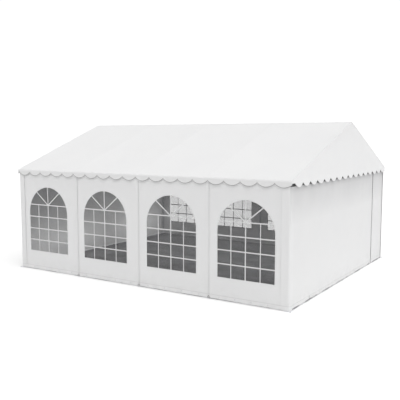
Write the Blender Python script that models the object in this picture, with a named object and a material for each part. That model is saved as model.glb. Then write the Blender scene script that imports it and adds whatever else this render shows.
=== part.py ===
"""Party marquee, 6 m by 5 m: a tube frame under a white cloth roof, with
four windowed bays on each long side, closed gables and a groundsheet.

Units are metres, +Z is up. The origin is on the ground under the middle of
the tent. X runs along the ridge, and a gable stands at each end of X.
"""

import math

import bmesh
import bpy
from mathutils import Matrix, Vector

# Overall size, over the cloth
HALF_LENGTH = 3.060
HALF_WIDTH = 2.530
RIDGE_Z = 3.012
EAVE_Z = 2.062
BAYS = 4

# Cloth
WALL_CLOTH = 0.004
ROOF_CLOTH = 0.006
EAVE_OVERHANG = 0.015
GABLE_OVERHANG = 0.016
WALL_BOTTOM_Z = 0.012
WALL_TOP_Z = 2.055
SEAT_GAP = 0.0003
CORNER_STEPS = 6

# The gables lean out towards the ridge, which is longer than the eaves
RIDGE_LEAN = 0.060
LEAN_BASE_DROP = 0.012

# Tubes, and the sockets of the fittings that join them
RAIL_RADIUS = 0.025
TUBE_RADIUS = 0.021
POST_SOCKET_RADIUS = 0.0240
RAFTER_SOCKET_RADIUS = 0.0232
GABLE_SOCKET_RADIUS = 0.0224
SOCKET_REACH = 0.120
GABLE_SOCKET_REACH = 0.140
RAFTER_FOOT_REACH = 0.160
TUBE_SIDES = 16
RAIL_SETBACK = 0.001
RIDGE_RAIL_SHORT = 0.009
SOCKET_CROSSING = 0.010
SOCKET_HEAD = 0.005

# Foot plates
PLATE_THICKNESS = 0.006
PLATE_INNER_REACH = 0.060
PLATE_SIDE_REACH = 0.080
CORNER_PLATE_REACH = 0.060
RAIL_ABOVE_PLATE = 0.001

# Scalloped edges of the roof cloth: how far apart the cusps are, and where one lies
CUSP_DROP = 0.052
SCALLOP_DEPTH = 0.066
SCALLOP_FULLNESS = 0.7
SCALLOP_STEPS = 8
LONG_SCALLOP_PITCH = 0.3063
LONG_CUSP_X = 0.027
GABLE_SCALLOP_PITCH = 0.3110
GABLE_CUSP_Y = 0.060

# Arched windows, one in each bay of the long walls
WINDOW_RADIUS = 0.5275
WINDOW_SILL_Z = 0.400
WINDOW_ARCH_CENTRE_Z = 1.1875
WINDOW_ARC_STEPS = 24
WINDOW_X = [-2.2405, -0.7375, 0.7875, 2.2685]
FILM_THICKNESS = 0.002

# Seams: the gable wall turns each corner, and the door zips stand in from it
GABLE_RETURN = 0.155
BAY_SEAM_PITCH = 1.498
BAY_SEAM_SHIFT = 0.079
DOOR_HALF_WIDTH = 1.760

# Groundsheet
GROUNDSHEET_THICKNESS = 0.004

# Sizes that follow from the ones above
VALANCE_Y = HALF_WIDTH + EAVE_OVERHANG
GABLE_CLOTH_X = HALF_LENGTH + GABLE_OVERHANG
RIDGE_CLOTH_X = GABLE_CLOTH_X + RIDGE_LEAN
LEAN_BASE_Z = EAVE_Z - LEAN_BASE_DROP
SLOPE = (RIDGE_Z - EAVE_Z) / VALANCE_Y
SLOPE_ANGLE = math.atan(SLOPE)
ROOF_DROP = ROOF_CLOTH / math.cos(SLOPE_ANGLE)
RAIL_DROP = (RAIL_RADIUS + SEAT_GAP) / math.cos(SLOPE_ANGLE)
FRAME_INSET = WALL_CLOTH + SEAT_GAP + RAIL_RADIUS
FRAME_X = HALF_LENGTH - FRAME_INSET
FRAME_Y = HALF_WIDTH - FRAME_INSET
BAY_PITCH = 2.0 * FRAME_X / BAYS
POST_X = [-FRAME_X + BAY_PITCH * index for index in range(BAYS + 1)]
SEAM_X = [BAY_SEAM_SHIFT + BAY_SEAM_PITCH * index for index in (-1, 0, 1)]
GROUND_RAIL_Z = PLATE_THICKNESS + RAIL_ABOVE_PLATE + RAIL_RADIUS
RIDGE_RAIL_Z = RIDGE_Z - ROOF_DROP - RAIL_DROP
EAVE_RAIL_Z = RIDGE_RAIL_Z - SLOPE * FRAME_Y
RAFTER_RUN = FRAME_Y / math.cos(SLOPE_ANGLE)

SIDES = {"front": -1.0, "back": 1.0}
ENDS = {"left": -1.0, "right": 1.0}


def make_material(name, colour, roughness, metallic=0.0, alpha=1.0):
    """One Principled material for one sub-part."""
    material = bpy.data.materials.new(name)
    material.use_nodes = True
    shader = material.node_tree.nodes["Principled BSDF"]
    shader.inputs["Base Color"].default_value = (*colour, 1.0)
    shader.inputs["Roughness"].default_value = roughness
    shader.inputs["Metallic"].default_value = metallic
    shader.inputs["Alpha"].default_value = alpha
    return material


def galvanised_steel(name):
    return make_material(name, (0.62, 0.63, 0.64), 0.38, metallic=1.0)


def white_cloth(name):
    return make_material(name, (0.86, 0.86, 0.86), 0.45)


def clear_film(name):
    return make_material(name, (0.62, 0.64, 0.66), 0.12, alpha=0.35)


def grey_sheet(name):
    return make_material(name, (0.16, 0.16, 0.16), 0.70)


def link_part(name, mesh, material):
    """Link a mesh into the scene as one named sub-part."""
    mesh.name = name
    mesh.materials.append(material)
    part = bpy.data.objects.new(name, mesh)
    bpy.context.scene.collection.objects.link(part)
    return part


def link_tool(part, label, mesh):
    """Link a mesh that only cuts or is welded onto a sub-part."""
    tool = bpy.data.objects.new(f"{part.name}_{label}", mesh)
    bpy.context.scene.collection.objects.link(tool)
    tool.hide_render = True
    tool.display_type = "WIRE"
    return tool


def add_boolean(part, label, mesh, operation, solver):
    modifier = part.modifiers.new(label, "BOOLEAN")
    modifier.operation = operation
    modifier.solver = solver
    modifier.object = link_tool(part, label, mesh)


def weld_on(part, solids):
    """Join further solids to a part, one Boolean union each.

    Several round bars meet at one point of a rail, where the exact solver
    leaves open edges, so the manifold solver joins them.
    """
    for index, mesh in enumerate(solids):
        add_boolean(part, f"weld_{index}", mesh, "UNION", "MANIFOLD")


def finish_mesh(bm):
    """Turn a bmesh into a mesh with its faces pointing out."""
    bmesh.ops.recalc_face_normals(bm, faces=bm.faces)
    mesh = bpy.data.meshes.new("solid")
    bm.to_mesh(mesh)
    bm.free()
    return mesh


def round_bar(start, end, radius):
    """A closed round bar between two points, shaded smooth along its length."""
    start, end = Vector(start), Vector(end)
    axis = end - start
    turn = axis.to_track_quat("Z", "Y").to_matrix().to_4x4()
    place = Matrix.Translation((start + end) / 2.0) @ turn
    bm = bmesh.new()
    bmesh.ops.create_cone(
        bm, cap_ends=True, segments=TUBE_SIDES, radius1=radius, radius2=radius,
        depth=axis.length, matrix=place)
    mesh = finish_mesh(bm)
    mesh.shade_smooth()
    mesh.set_sharp_from_angle(angle=math.radians(40.0))
    return mesh


def box(corner, opposite):
    """A closed box between any two opposite corners."""
    first, second = Vector(corner), Vector(opposite)
    size = [abs(b - a) for a, b in zip(first, second)]
    bm = bmesh.new()
    place = Matrix.Translation((first + second) / 2.0) @ Matrix.Diagonal((*size, 1.0))
    bmesh.ops.create_cube(bm, size=1.0, matrix=place)
    return finish_mesh(bm)


def extrude_outline(outline, place, low, high):
    """Sweep a flat outline from one depth to another.

    place(a, b, depth) gives the point of outline point (a, b) at a depth.
    """
    bm = bmesh.new()
    face = bm.faces.new([bm.verts.new(place(a, b, low)) for a, b in outline])
    grown = bmesh.ops.extrude_face_region(bm, geom=[face])
    moved = [item for item in grown["geom"] if isinstance(item, bmesh.types.BMVert)]
    sweep = Vector(place(0.0, 0.0, high)) - Vector(place(0.0, 0.0, low))
    bmesh.ops.translate(bm, verts=moved, vec=sweep)
    return finish_mesh(bm)


def loft(rings):
    """Join rings of equal point count into one closed solid with end caps."""
    bm = bmesh.new()
    loops = [[bm.verts.new(point) for point in ring] for ring in rings]
    for near, far in zip(loops, loops[1:]):
        for index in range(len(near)):
            following = (index + 1) % len(near)
            bm.faces.new((near[index], near[following], far[following], far[index]))
    bm.faces.new(loops[0])
    bm.faces.new(loops[-1])
    return finish_mesh(bm)


def roof_under_z(y):
    """Height of the roof cloth's underside at a distance from the ridge."""
    return RIDGE_Z - ROOF_DROP - SLOPE * abs(y)


def down_slope(side, x, distance):
    """The point on a rafter's centre line at a distance from the ridge."""
    return (
        x,
        side * distance * math.cos(SLOPE_ANGLE),
        RIDGE_RAIL_Z - distance * math.sin(SLOPE_ANGLE))


def spread_x(x, y):
    """Where a place along the eave lies at a distance from the ridge, up the slope."""
    return x * (1.0 + RIDGE_LEAN / GABLE_CLOTH_X * (1.0 - abs(y) / VALANCE_Y))


def gable_lean(z):
    """How far the gable cloth leans out at a height."""
    return RIDGE_LEAN * (z - LEAN_BASE_Z) / (RIDGE_Z - LEAN_BASE_Z)


def scalloped_edge_z(position, cusp, pitch):
    """Height of a scalloped edge: full round lobes that meet in upward cusps."""
    turns = (position - cusp) / pitch
    lobe = abs(math.sin(math.pi * turns)) ** SCALLOP_FULLNESS
    return EAVE_Z - CUSP_DROP - SCALLOP_DEPTH * lobe


def stations(half_span, cusp, pitch, extra=()):
    """Places along a scalloped edge: every cusp, steps between, and both ends."""
    step = pitch / SCALLOP_STEPS
    lowest = math.ceil((-half_span - cusp) / step)
    highest = math.floor((half_span - cusp) / step)
    inner = [cusp + step * index for index in range(lowest, highest + 1)]
    kept = [place for place in inner if half_span - abs(place) > step / 4.0]
    kept = [place for place in kept if all(abs(place - other) > step / 4.0 for other in extra)]
    return sorted([-half_span, *kept, *extra, half_span])


def arch_outline(centre_x, inset):
    """The window's outline: a sill, two upright sides and a round head."""
    radius = WINDOW_RADIUS - inset
    outline = [
        (centre_x - radius, WINDOW_SILL_Z + inset),
        (centre_x + radius, WINDOW_SILL_Z + inset)]
    for step in range(WINDOW_ARC_STEPS + 1):
        angle = math.pi * step / WINDOW_ARC_STEPS
        outline.append((
            centre_x + radius * math.cos(angle),
            WINDOW_ARCH_CENTRE_Z + radius * math.sin(angle)))
    return outline


def arch_solid(centre_x, inset, y_low, y_high):
    return extrude_outline(
        arch_outline(centre_x, inset), lambda a, b, depth: (a, depth, b), y_low, y_high)


def corner_arc(end, side, radius, start_angle, stop_angle):
    """Points round a corner post, with angles measured from the long side."""
    points = []
    for step in range(CORNER_STEPS + 1):
        angle = start_angle + (stop_angle - start_angle) * step / CORNER_STEPS
        points.append((
            end * (FRAME_X + radius * math.sin(angle)),
            side * (FRAME_Y + radius * math.cos(angle))))
    return points


def foot_plate(index, side):
    """The plate under one post: square at a corner, hidden by cloth elsewhere."""
    x, y = POST_X[index], side * FRAME_Y
    inner_y = y - side * PLATE_INNER_REACH
    if index in (0, BAYS):
        end = math.copysign(1.0, x)
        corner = (x - end * PLATE_INNER_REACH, inner_y, 0.0)
        opposite = (x + end * CORNER_PLATE_REACH, y + side * CORNER_PLATE_REACH, PLATE_THICKNESS)
    else:
        corner = (x - PLATE_SIDE_REACH, inner_y, 0.0)
        opposite = (x + PLATE_SIDE_REACH, y + side * RAIL_RADIUS, PLATE_THICKNESS)
    return box(corner, opposite)


def corner_stubs(side, rail_z):
    """Sockets that reach along the gables from both ends of a long rail."""
    start_y = side * (FRAME_Y + SOCKET_CROSSING)
    stop_y = side * (FRAME_Y - GABLE_SOCKET_REACH)
    return [
        round_bar((x, start_y, rail_z), (x, stop_y, rail_z), GABLE_SOCKET_RADIUS)
        for x in (-FRAME_X, FRAME_X)]


def long_rail(name, side, rail_z):
    y = side * FRAME_Y
    end_x = FRAME_X - RAIL_SETBACK
    bar = round_bar((-end_x, y, rail_z), (end_x, y, rail_z), RAIL_RADIUS)
    return link_part(name, bar, galvanised_steel(name))


def make_ground_rail(side_name, side):
    """Long ground rail with its foot plates and post sockets."""
    y = side * FRAME_Y
    rail = long_rail(f"ground_rail_{side_name}", side, GROUND_RAIL_Z)
    solids = corner_stubs(side, GROUND_RAIL_Z)
    for index, x in enumerate(POST_X):
        solids.append(foot_plate(index, side))
        solids.append(round_bar(
            (x, y, PLATE_THICKNESS / 2.0), (x, y, SOCKET_REACH), POST_SOCKET_RADIUS))
    weld_on(rail, solids)


def make_eave_rail(side_name, side):
    """Long eave rail with sockets for the posts, the rafters and the gables."""
    y = side * FRAME_Y
    rail = long_rail(f"eave_rail_{side_name}", side, EAVE_RAIL_Z)
    solids = corner_stubs(side, EAVE_RAIL_Z)
    for x in POST_X:
        solids.append(round_bar(
            (x, y, EAVE_RAIL_Z - SOCKET_REACH), (x, y, EAVE_RAIL_Z + SOCKET_HEAD),
            POST_SOCKET_RADIUS))
        solids.append(round_bar(
            down_slope(side, x, RAFTER_RUN + SOCKET_CROSSING),
            down_slope(side, x, RAFTER_RUN - RAFTER_FOOT_REACH), RAFTER_SOCKET_RADIUS))
    weld_on(rail, solids)


def make_ridge_rail():
    """Ridge rail with a pair of rafter sockets over each pair of posts."""
    end_x = RIDGE_CLOTH_X - RIDGE_RAIL_SHORT
    bar = round_bar((-end_x, 0.0, RIDGE_RAIL_Z), (end_x, 0.0, RIDGE_RAIL_Z), RAIL_RADIUS)
    rail = link_part("ridge_rail", bar, galvanised_steel("ridge_rail"))
    solids = []
    for x in POST_X:
        for side in SIDES.values():
            solids.append(round_bar(
                down_slope(side, x, -SOCKET_CROSSING), down_slope(side, x, SOCKET_REACH),
                RAFTER_SOCKET_RADIUS))
    weld_on(rail, solids)


def make_post(side_name, side, index, x):
    y = side * FRAME_Y
    name = f"post_{side_name}_{index}"
    foot = (x, y, SOCKET_REACH + SEAT_GAP)
    head = (x, y, EAVE_RAIL_Z - SOCKET_REACH - SEAT_GAP)
    link_part(name, round_bar(foot, head, TUBE_RADIUS), galvanised_steel(name))


def make_rafter(side_name, side, index, x):
    name = f"rafter_{side_name}_{index}"
    top = down_slope(side, x, SOCKET_REACH + SEAT_GAP)
    bottom = down_slope(side, x, RAFTER_RUN - RAFTER_FOOT_REACH - SEAT_GAP)
    link_part(name, round_bar(top, bottom, TUBE_RADIUS), galvanised_steel(name))


def make_gable_bar(name, end, bar_z):
    """A bar across the gable, between the two corner sockets."""
    x = end * FRAME_X
    reach = FRAME_Y - GABLE_SOCKET_REACH - SEAT_GAP
    link_part(name, round_bar((x, -reach, bar_z), (x, reach, bar_z), RAIL_RADIUS), galvanised_steel(name))


def make_roof_cover(side_name, side):
    """One slope of the roof cloth and the scalloped valance at its eave."""
    name = f"roof_cover_{side_name}"
    ridge_y = side * SEAT_GAP / 2.0
    outer_y = side * VALANCE_Y
    inner_y = side * (VALANCE_Y - WALL_CLOTH)
    cusp = -side * LONG_CUSP_X
    rings = []
    for x in stations(GABLE_CLOTH_X, cusp, LONG_SCALLOP_PITCH):
        hem_z = scalloped_edge_z(x, cusp, LONG_SCALLOP_PITCH)
        section = [
            (ridge_y, RIDGE_Z),
            (outer_y, EAVE_Z),
            (outer_y, hem_z),
            (inner_y, hem_z),
            (inner_y, roof_under_z(inner_y)),
            (ridge_y, roof_under_z(ridge_y))]
        rings.append([(spread_x(x, y), y, z) for y, z in section])
    link_part(name, loft(rings), white_cloth(name))


def make_gable_top(end_name, end):
    """The cloth triangle under the roof, with its scalloped lower edge."""
    name = f"gable_top_{end_name}"
    half_span = VALANCE_Y - WALL_CLOTH - SEAT_GAP
    outer_x = end * GABLE_CLOTH_X
    inner_x = end * (GABLE_CLOTH_X - WALL_CLOTH)
    cusp = end * GABLE_CUSP_Y
    rings = []
    for y in stations(half_span, cusp, GABLE_SCALLOP_PITCH, extra=(0.0,)):
        hem_z = scalloped_edge_z(y, cusp, GABLE_SCALLOP_PITCH)
        top_z = roof_under_z(y) - 2.0 * SEAT_GAP
        lean = end * gable_lean(top_z)
        rings.append([
            (inner_x, y, hem_z),
            (outer_x, y, hem_z),
            (outer_x, y, LEAN_BASE_Z),
            (outer_x + lean, y, top_z),
            (inner_x + lean, y, top_z),
            (inner_x, y, LEAN_BASE_Z)])
    link_part(name, loft(rings), white_cloth(name))


def make_wall_bay(side_name, side, index, low_x, high_x, window_x):
    """One bay of a long wall, with its window cut through and glazed."""
    number = index + 1
    outer_y = side * HALF_WIDTH
    inner_y = side * (HALF_WIDTH - WALL_CLOTH)
    wall_name = f"wall_{side_name}_{number}"
    panel = box((low_x, outer_y, WALL_BOTTOM_Z), (high_x, inner_y, WALL_TOP_Z))
    wall = link_part(wall_name, panel, white_cloth(wall_name))
    past_y = (outer_y + side * WALL_CLOTH, inner_y - side * WALL_CLOTH)
    add_boolean(wall, "window_cut", arch_solid(window_x, 0.0, *past_y), "DIFFERENCE", "EXACT")
    film_name = f"window_film_{side_name}_{number}"
    middle_y = (outer_y + inner_y) / 2.0
    film = arch_solid(
        window_x, SEAT_GAP, middle_y - FILM_THICKNESS / 2.0, middle_y + FILM_THICKNESS / 2.0)
    link_part(film_name, film, clear_film(film_name))


def make_long_wall(side_name, side):
    """Four bays between the returns of the two gable walls.

    The back is the front turned half round, so its places change sign.
    """
    ends = HALF_LENGTH - GABLE_RETURN
    edges = sorted([-ends, ends, *(-side * x for x in SEAM_X)])
    windows = sorted(-side * x for x in WINDOW_X)
    for index in range(BAYS):
        low_x = edges[index] + SEAT_GAP / 2.0
        high_x = edges[index + 1] - SEAT_GAP / 2.0
        make_wall_bay(side_name, side, index, low_x, high_x, windows[index])


def make_gable_side(end_name, end, side_name, side):
    """Gable wall from the door zip, round the corner post, to its return."""
    name = f"gable_wall_{end_name}_{side_name}"
    return_x = end * (HALF_LENGTH - GABLE_RETURN + SEAT_GAP)
    zip_y = side * (DOOR_HALF_WIDTH + SEAT_GAP)
    quarter = math.pi / 2.0
    outer = corner_arc(end, side, FRAME_INSET, 0.0, quarter)
    inner = corner_arc(end, side, FRAME_INSET - WALL_CLOTH, quarter, 0.0)
    outline = [
        (return_x, side * HALF_WIDTH),
        *outer,
        (end * HALF_LENGTH, zip_y),
        (end * (HALF_LENGTH - WALL_CLOTH), zip_y),
        *inner,
        (return_x, side * (HALF_WIDTH - WALL_CLOTH))]
    wall = extrude_outline(outline, lambda a, b, depth: (a, b, depth), WALL_BOTTOM_Z, WALL_TOP_Z)
    link_part(name, wall, white_cloth(name))


def make_door_curtain(end_name, end):
    """The middle of the gable wall, which unzips and rolls up."""
    name = f"door_curtain_{end_name}"
    curtain = box(
        (end * HALF_LENGTH, -DOOR_HALF_WIDTH, WALL_BOTTOM_Z),
        (end * (HALF_LENGTH - WALL_CLOTH), DOOR_HALF_WIDTH, WALL_TOP_Z))
    link_part(name, curtain, white_cloth(name))


def make_groundsheet():
    """Flat floor sheet between the foot plates."""
    half_x = FRAME_X - PLATE_INNER_REACH - SEAT_GAP
    half_y = FRAME_Y - PLATE_INNER_REACH - SEAT_GAP
    sheet = box((-half_x, -half_y, 0.0), (half_x, half_y, GROUNDSHEET_THICKNESS))
    link_part("groundsheet", sheet, grey_sheet("groundsheet"))


def make_frame():
    for side_name, side in SIDES.items():
        make_ground_rail(side_name, side)
        make_eave_rail(side_name, side)
        for index, x in enumerate(POST_X, start=1):
            make_post(side_name, side, index, x)
            make_rafter(side_name, side, index, x)
    for end_name, end in ENDS.items():
        make_gable_bar(f"ground_rail_{end_name}", end, GROUND_RAIL_Z)
        make_gable_bar(f"gable_beam_{end_name}", end, EAVE_RAIL_Z)
    make_ridge_rail()


def make_cloth():
    for side_name, side in SIDES.items():
        make_roof_cover(side_name, side)
        make_long_wall(side_name, side)
    for end_name, end in ENDS.items():
        make_gable_top(end_name, end)
        make_door_curtain(end_name, end)
        for side_name, side in SIDES.items():
            make_gable_side(end_name, end, side_name, side)
    make_groundsheet()


def main():
    for leftover in list(bpy.data.objects):
        bpy.data.objects.remove(leftover, do_unlink=True)
    make_frame()
    make_cloth()


main()
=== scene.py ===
"""Looks of the party marquee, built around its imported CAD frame.

Units are metres, +Z is up, and the frame is the CAD's own: X runs along the
ridge and the front long side faces -Y. The back side and the left gable are
the front and the right gable turned half round the Z axis.
"""

import math

import bpy
import numpy as np
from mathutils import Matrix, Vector
from mathutils.geometry import delaunay_2d_cdt


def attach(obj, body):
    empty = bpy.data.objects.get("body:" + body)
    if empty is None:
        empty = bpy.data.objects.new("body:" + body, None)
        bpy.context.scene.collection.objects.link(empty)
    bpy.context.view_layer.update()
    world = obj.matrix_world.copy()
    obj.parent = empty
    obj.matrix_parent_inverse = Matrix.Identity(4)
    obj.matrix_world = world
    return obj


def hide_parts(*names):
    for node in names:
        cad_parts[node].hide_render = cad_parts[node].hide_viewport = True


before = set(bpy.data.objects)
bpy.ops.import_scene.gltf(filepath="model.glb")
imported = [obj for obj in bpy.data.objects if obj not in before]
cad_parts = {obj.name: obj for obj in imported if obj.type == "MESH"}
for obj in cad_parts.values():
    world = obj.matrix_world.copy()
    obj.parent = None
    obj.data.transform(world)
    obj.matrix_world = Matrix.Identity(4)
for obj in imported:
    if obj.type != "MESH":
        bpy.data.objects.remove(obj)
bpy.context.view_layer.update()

# Sizes of the CAD model
HALF_LENGTH = 3.060
HALF_WIDTH = 2.530
RIDGE_Z = 3.012
EAVE_Z = 2.062
VALANCE_Y = 2.545
GABLE_CLOTH_X = 3.076
GABLE_HALF_SPAN = VALANCE_Y - 0.004
RIDGE_LEAN = 0.060
LEAN_BASE_Z = 2.050
FRAME_X = 3.0307
FRAME_Y = 2.5007
BAY_PITCH = 1.51535
POST_X = [-FRAME_X + BAY_PITCH * index for index in range(5)]
EAVE_RAIL_Z = 2.0452
RIDGE_RAIL_Z = 2.9786
SLOPE = (RIDGE_Z - EAVE_Z) / VALANCE_Y
SLOPE_ANGLE = math.atan(SLOPE)
SLOPE_LENGTH = VALANCE_Y / math.cos(SLOPE_ANGLE)
WALL_BOTTOM_Z = 0.0075
WALL_TOP_Z = 2.045
GABLE_WALL_TOP_Z = 2.022
WINDOW_RADIUS = 0.5275
WINDOW_SILL_Z = 0.400
WINDOW_ARCH_Z = 1.1875
WINDOW_X = (-2.2405, -0.7375, 0.7875, 2.2685)
GABLE_RETURN = 0.155
SEAM_X = (-1.419, 0.079, 1.577)
DOOR_HALF_WIDTH = 1.760
SOCKET_REACH = 0.120
SOCKET_FACE = 0.0238
SOCKET_UNDERSIDE = 0.0230
PLATE_TOP_Z = 0.006
PLATE_BOLT = 0.0455

# Scalloped valances: one cusp's place and their pitch, how far the cusps are
# below the eave, how deep and how full the lobes are, and where they start
LONG_SCALLOPS = {
    "cusp": 0.027, "pitch": 0.3063, "drop": 0.052, "depth": 0.066, "fullness": 0.70, "start": -4.0}
GABLE_SCALLOPS = {
    "cusp": 0.060, "pitch": 0.3110, "drop": 0.045, "depth": 0.069, "fullness": 0.85, "start": -2.427}

# Cloth and film: real thickness, mesh steps, roundings, overlaps, flaps, and painted shade
CLOTH = 0.0012
FILM = 0.0006
CLOTH_STEP = 0.036
CORNER_RADIUS = 0.040
RIDGE_ROUNDING = 0.005
EAVE_ROUNDING = 0.010
ROOF_SAG = 0.012
PANEL_TUCK = 0.015
HEM_ROWS_Z = (0.024, 0.036, 0.048, 0.060, 0.068, 0.074, 0.079, 0.082, 0.085, 0.090, 0.097, 0.108)
FILM_MARGIN = 0.020
FILM_STEP = 0.045
FLAP_WIDTH = 0.130
FLAP_BOTTOM_Z = 0.020
FLAP_TOP_Z = WALL_TOP_Z - 0.030
FLAP_LIFT = 0.008
DOOR_FLAP_LIFT = 0.0038
COVER_LIFT = 0.005
DOOR_OVERLAP = 0.025
RETURN_TUCK = 0.020
CORNER_COVER_REACH = 0.080
COVER_GAP = 0.0016
COVER_STEP = 0.016
HEM_LINE_Z = 0.082
# Painted shade on the gable walls under the valance: where it starts, where it deepens, its top, and the
# deep part's extra
SHADE_LOW_Z = 1.35
SHADE_DEEP_Z = 1.86
SHADE_TOP_Z = 1.96
SHADE_DEEP = 0.26
# Above this height the gable wall is painted near black: painted shadow in the gaps between the
# valance's lobes
GAP_SHADOW_BAND_Z = 1.966
# How soft the edges of the painted shade bands are
SHADE_BAND_EDGE = 0.001
SMOOTH_BELOW = math.radians(40.0)

# Groundsheet: half sizes, level, creases and the rows where its edge turns up
GROUND_HALF_X = FRAME_X - 0.025 - 0.0015
GROUND_HALF_Y = FRAME_Y - 0.025 - 0.0015
GROUND_LEVEL = 0.0016
GROUND_WAVE = 0.0020
GROUND_OVER_PLATES = 0.0070
GROUND_TURN_UP = 0.040
CREASE_WIDTH = 0.010
CREASES_X = (-1.5, 0.0, 1.5)
CREASES_Y = (-1.2, 0.0, 1.2)
EDGE_ROWS = (0.0, 0.0015, 0.004, 0.008, 0.013, 0.020, 0.028, 0.038, 0.050, 0.065, 0.085)

# Glazing bars
BAR_WIDTH = 0.0205
THIN_BAR_WIDTH = 0.0165
BAR_ROWS_Z = (0.630, 0.866, 1.110, 1.357)
BAR_COLUMN = 0.270
FAN_CENTRE_Z = 1.357
FAN_ANGLE = math.radians(39.0)
BAR_TUCK = 0.006
STRIP_STEP = 0.04

# Eyelets, the loops at the seams with their buttons, and the roof's welt
EYELET_RADIUS = 0.0085
EYELET_WIRE = 0.0018
EYELET_LIFT = 0.0012
HEM_EYELET_Z = 0.052
GABLE_EYELET_Z = 0.054
EYELET_ENDS = 2.88
LOOP_Z = 0.034
LOOP_SIZE = (0.022, 0.017)
LOOP_LIFT = 0.0140
LOOP_CORD = 0.0032
BUTTON_Z = 0.050
WELT_RADIUS = 0.0036

# Teeth, slider and pull of a door zip: foot, head, step, width, lift, thickness
ZIP_STRIPS = (
    (0.045, GABLE_WALL_TOP_Z - 0.02, 0.03, 0.008, 0.0016, 0.0016),
    (0.045, 0.072, 0.006, 0.012, 0.0040, 0.0040),
    (0.026, 0.055, 0.006, 0.007, 0.0070, 0.0016),
)

# Camera fitted to the photo's straight edges
CAMERA_PLACE = (6.7460, -10.9268, 2.7217)
CAMERA_SENSOR = 36.0
CAMERA_LENS = 53.46
CAMERA_DIP = 6.0144
CAMERA_TURN = 32.4938

# Studio light: the world as it lights and as it is seen, and a wide sun
WORLD_LIT = 0.45
WORLD_SEEN = 1.05
SUN_STRENGTH = 1.93
SUN_ANGLE = math.radians(70.0)
SUN_BACK = (0.371, -0.163, 0.914)

# Soft lamps inside, for the daylight that the windows let in: name, place,
# size, watts, spread in degrees, and the direction of the lamp's back
INSIDE_LAMPS = (
    ("gable_front_lamp", (-2.26, -1.17, 0.40), (2.5, 0.3), 3.6, 140.0, (1.0, 0.0, 0.0)),
    ("gable_back_lamp", (-2.26, 1.42, 0.46), (1.7, 0.3), 2.1, 112.0, (1.0, 0.0, 0.0)),
    ("floor_lamp", (0.0, 0.25, 2.50), (5.0, 0.4), 12.5, 112.0, (0.0, 0.0, 1.0)),
)

# The studio floor, and its own glow as it lights the tent and as it is seen
FLOOR_SIZE = 160.0
FLOOR_DROP = 0.001
FLOOR_GLOW_LIT = 0.14
FLOOR_GLOW_SEEN = 0.21

SIDES = ("front", "back")
ENDS = ("right", "left")


def wave_field(seed, count, shortest, longest):
    """A smooth random field over a plane, at most 1 high, as a sum of waves."""
    rng = np.random.default_rng(seed)
    lengths = rng.uniform(shortest, longest, count)
    angles = rng.uniform(0.0, math.tau, count)
    phases = rng.uniform(0.0, math.tau, count)
    weights = rng.uniform(0.5, 1.0, count)
    weights /= weights.sum()

    def field(u, v):
        total = 0.0
        for length, angle, phase, weight in zip(lengths, angles, phases, weights):
            along = u * math.cos(angle) + v * math.sin(angle)
            total = total + weight * np.sin(math.tau * along / length + phase)
        return total
    return field


def ramp(value, low, high):
    """0 below low, 1 above high and a smooth rise between them."""
    t = np.clip((value - low) / (high - low), 0.0, 1.0)
    return t * t * (3.0 - 2.0 * t)


def ridge_bump(value, centre, half_width):
    """A smooth bump, 1 high at its centre."""
    return np.exp(-((value - centre) / half_width) ** 2)


class Face:
    """A flat side of the tent, with the waves that its cloth hangs in.

    u runs to the right as seen from outside and v runs up.
    """

    def __init__(self, origin, across, wave, turned):
        spin = -1.0 if turned else 1.0
        turn = np.array([spin, spin, 1.0])
        self.origin = np.array(origin) * turn
        self.across = np.array(across) * turn
        self.up = np.array((0.0, 0.0, 1.0)) * turn
        self.out = np.cross(self.across, self.up)
        self.wave = wave

    def at(self, u, v, lift=0.0):
        u, v = np.broadcast_arrays(np.asarray(u, float), np.asarray(v, float))
        rise = self.wave(u, v) + lift
        return (self.origin + u[..., None] * self.across + v[..., None] * self.up
                + rise[..., None] * self.out)


def grid_faces(rows, columns):
    """Quads of a grid whose points run row by row."""
    start = (np.arange(rows - 1)[:, None] * columns + np.arange(columns - 1)).ravel()
    return np.stack([start, start + 1, start + columns + 1, start + columns], axis=1).tolist()


def point_normals(points, faces):
    triangles = np.array([
        (face[0], face[k], face[k + 1]) for face in faces for k in range(1, len(face) - 1)])
    a, b, c = (points[triangles[:, k]] for k in range(3))
    across = np.cross(b - a, c - a)
    normals = np.zeros_like(points)
    for k in range(3):
        np.add.at(normals, triangles[:, k], across)
    return normals / np.maximum(np.linalg.norm(normals, axis=1, keepdims=True), 1e-12)


def closed_sheet(points, faces, thickness, out):
    """A surface made into a closed thin solid: two layers and a rim."""
    points = np.asarray(points, float).reshape(-1, 3)
    normals = point_normals(points, faces)
    if (normals @ np.asarray(out, float)).sum() < 0.0:
        faces = [face[::-1] for face in faces]
        normals = -normals
    count = len(points)
    outer = points + normals * thickness / 2.0
    inner = points - normals * thickness / 2.0
    edges = {(face[k], face[(k + 1) % len(face)]) for face in faces for k in range(len(face))}
    rim = [(a, a + count, b + count, b) for a, b in edges if (b, a) not in edges]
    rim.sort()
    turned = [[index + count for index in face[::-1]] for face in faces]
    return np.concatenate([outer, inner]), [*faces, *turned, *rim]


def grid_sheet(points, thickness, out):
    """A closed sheet from points that stand row by row."""
    return closed_sheet(points, grid_faces(*points.shape[:2]), thickness, out)


def loose_removed(points, faces):
    """The same solid without points that no face uses."""
    used = np.zeros(len(points), bool)
    for face in faces:
        used[list(face)] = True
    place = np.cumsum(used) - 1
    return points[used], [[int(place[index]) for index in face] for face in faces]


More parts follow.
